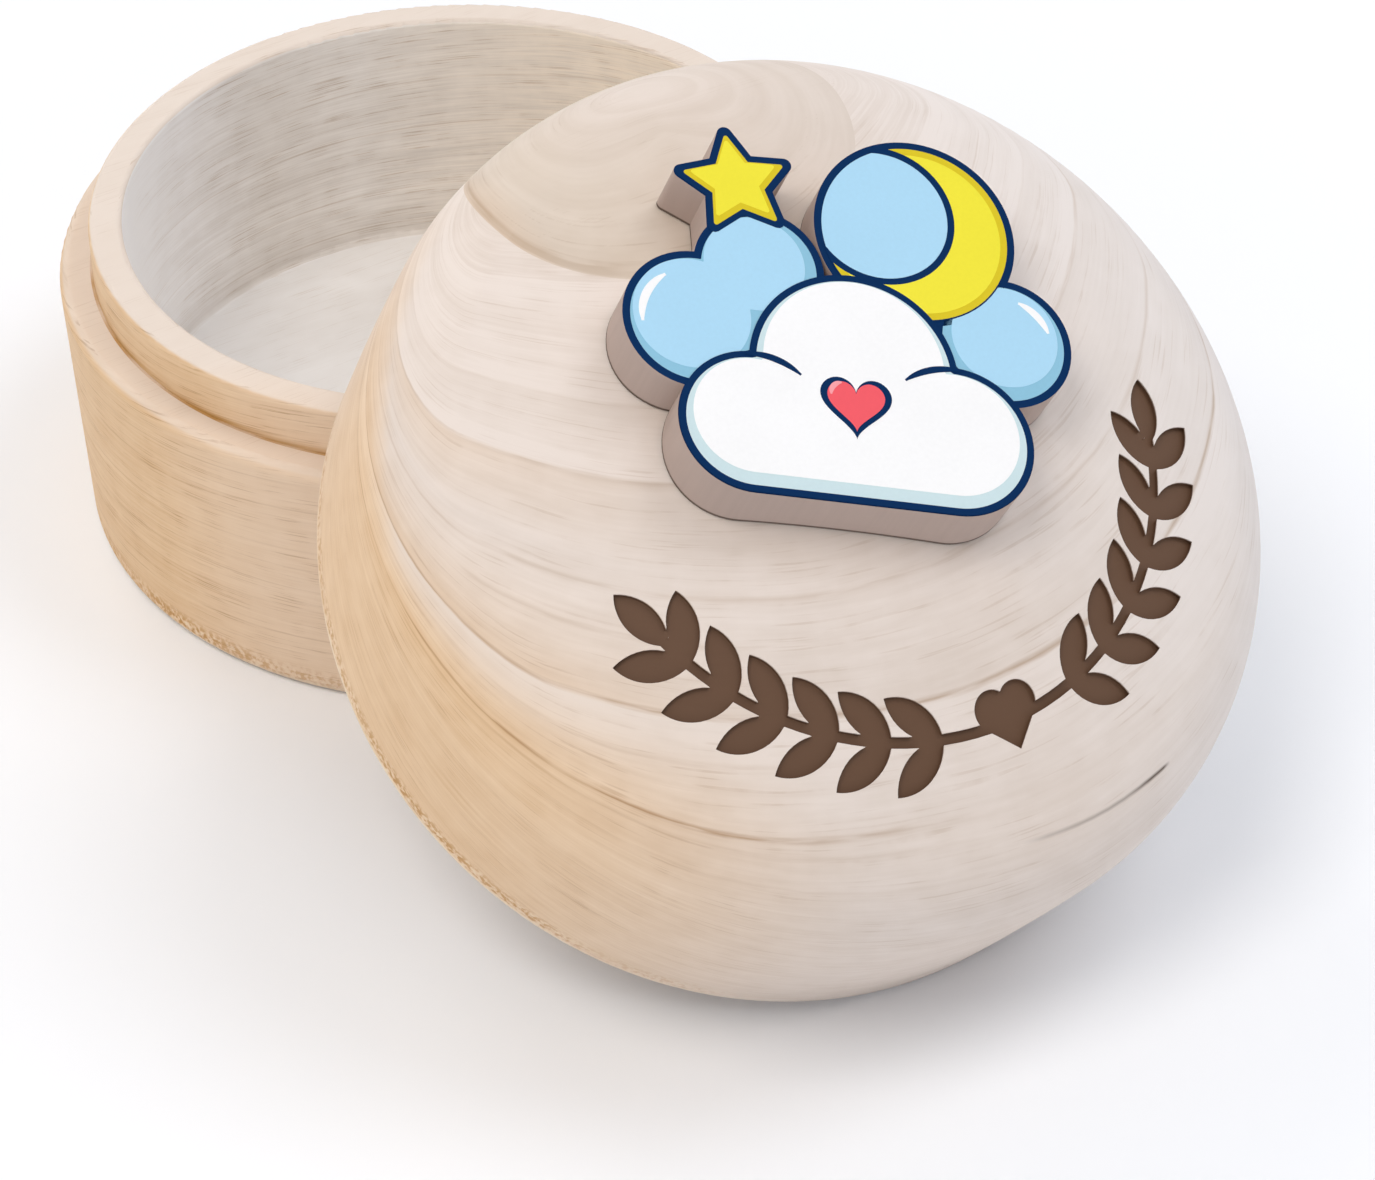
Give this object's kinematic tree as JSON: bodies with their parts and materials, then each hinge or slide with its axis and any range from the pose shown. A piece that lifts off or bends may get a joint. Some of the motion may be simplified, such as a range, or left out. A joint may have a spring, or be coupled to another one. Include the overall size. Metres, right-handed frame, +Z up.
{
  "type": "keepsake box",
  "caption": "Round turned wooden keepsake box for baby teeth: a cup with a raised tongue round its mouth, and a domed lift-off lid with a glued cut-out plaque.",
  "frame": {"origin": "centre of the cup's foot, on the surface that the box stands on", "axes": "+Z up along the cup's axis; the lid leans on the cup's -Y side, and +X completes a right-handed frame"},
  "size_m": [0.061, 0.1034, 0.0512],
  "materials": {
    "cup_wood": "turned and sanded, unvarnished",
    "lid_wood": "turned and sanded, unvarnished",
    "plaque_board": "laser-cut plywood with a printed face"
  },
  "bodies": {
    "cup": {"cup": "cup_wood"},
    "lid": {"lid": "lid_wood", "plaque": "plaque_board"}
  },
  "joints": [
    {"name": "lid_lift", "type": "slide", "parent": "cup", "child": "lid", "axis": [0, 0, 1], "range_m": [0, 0.06]}
  ]
}
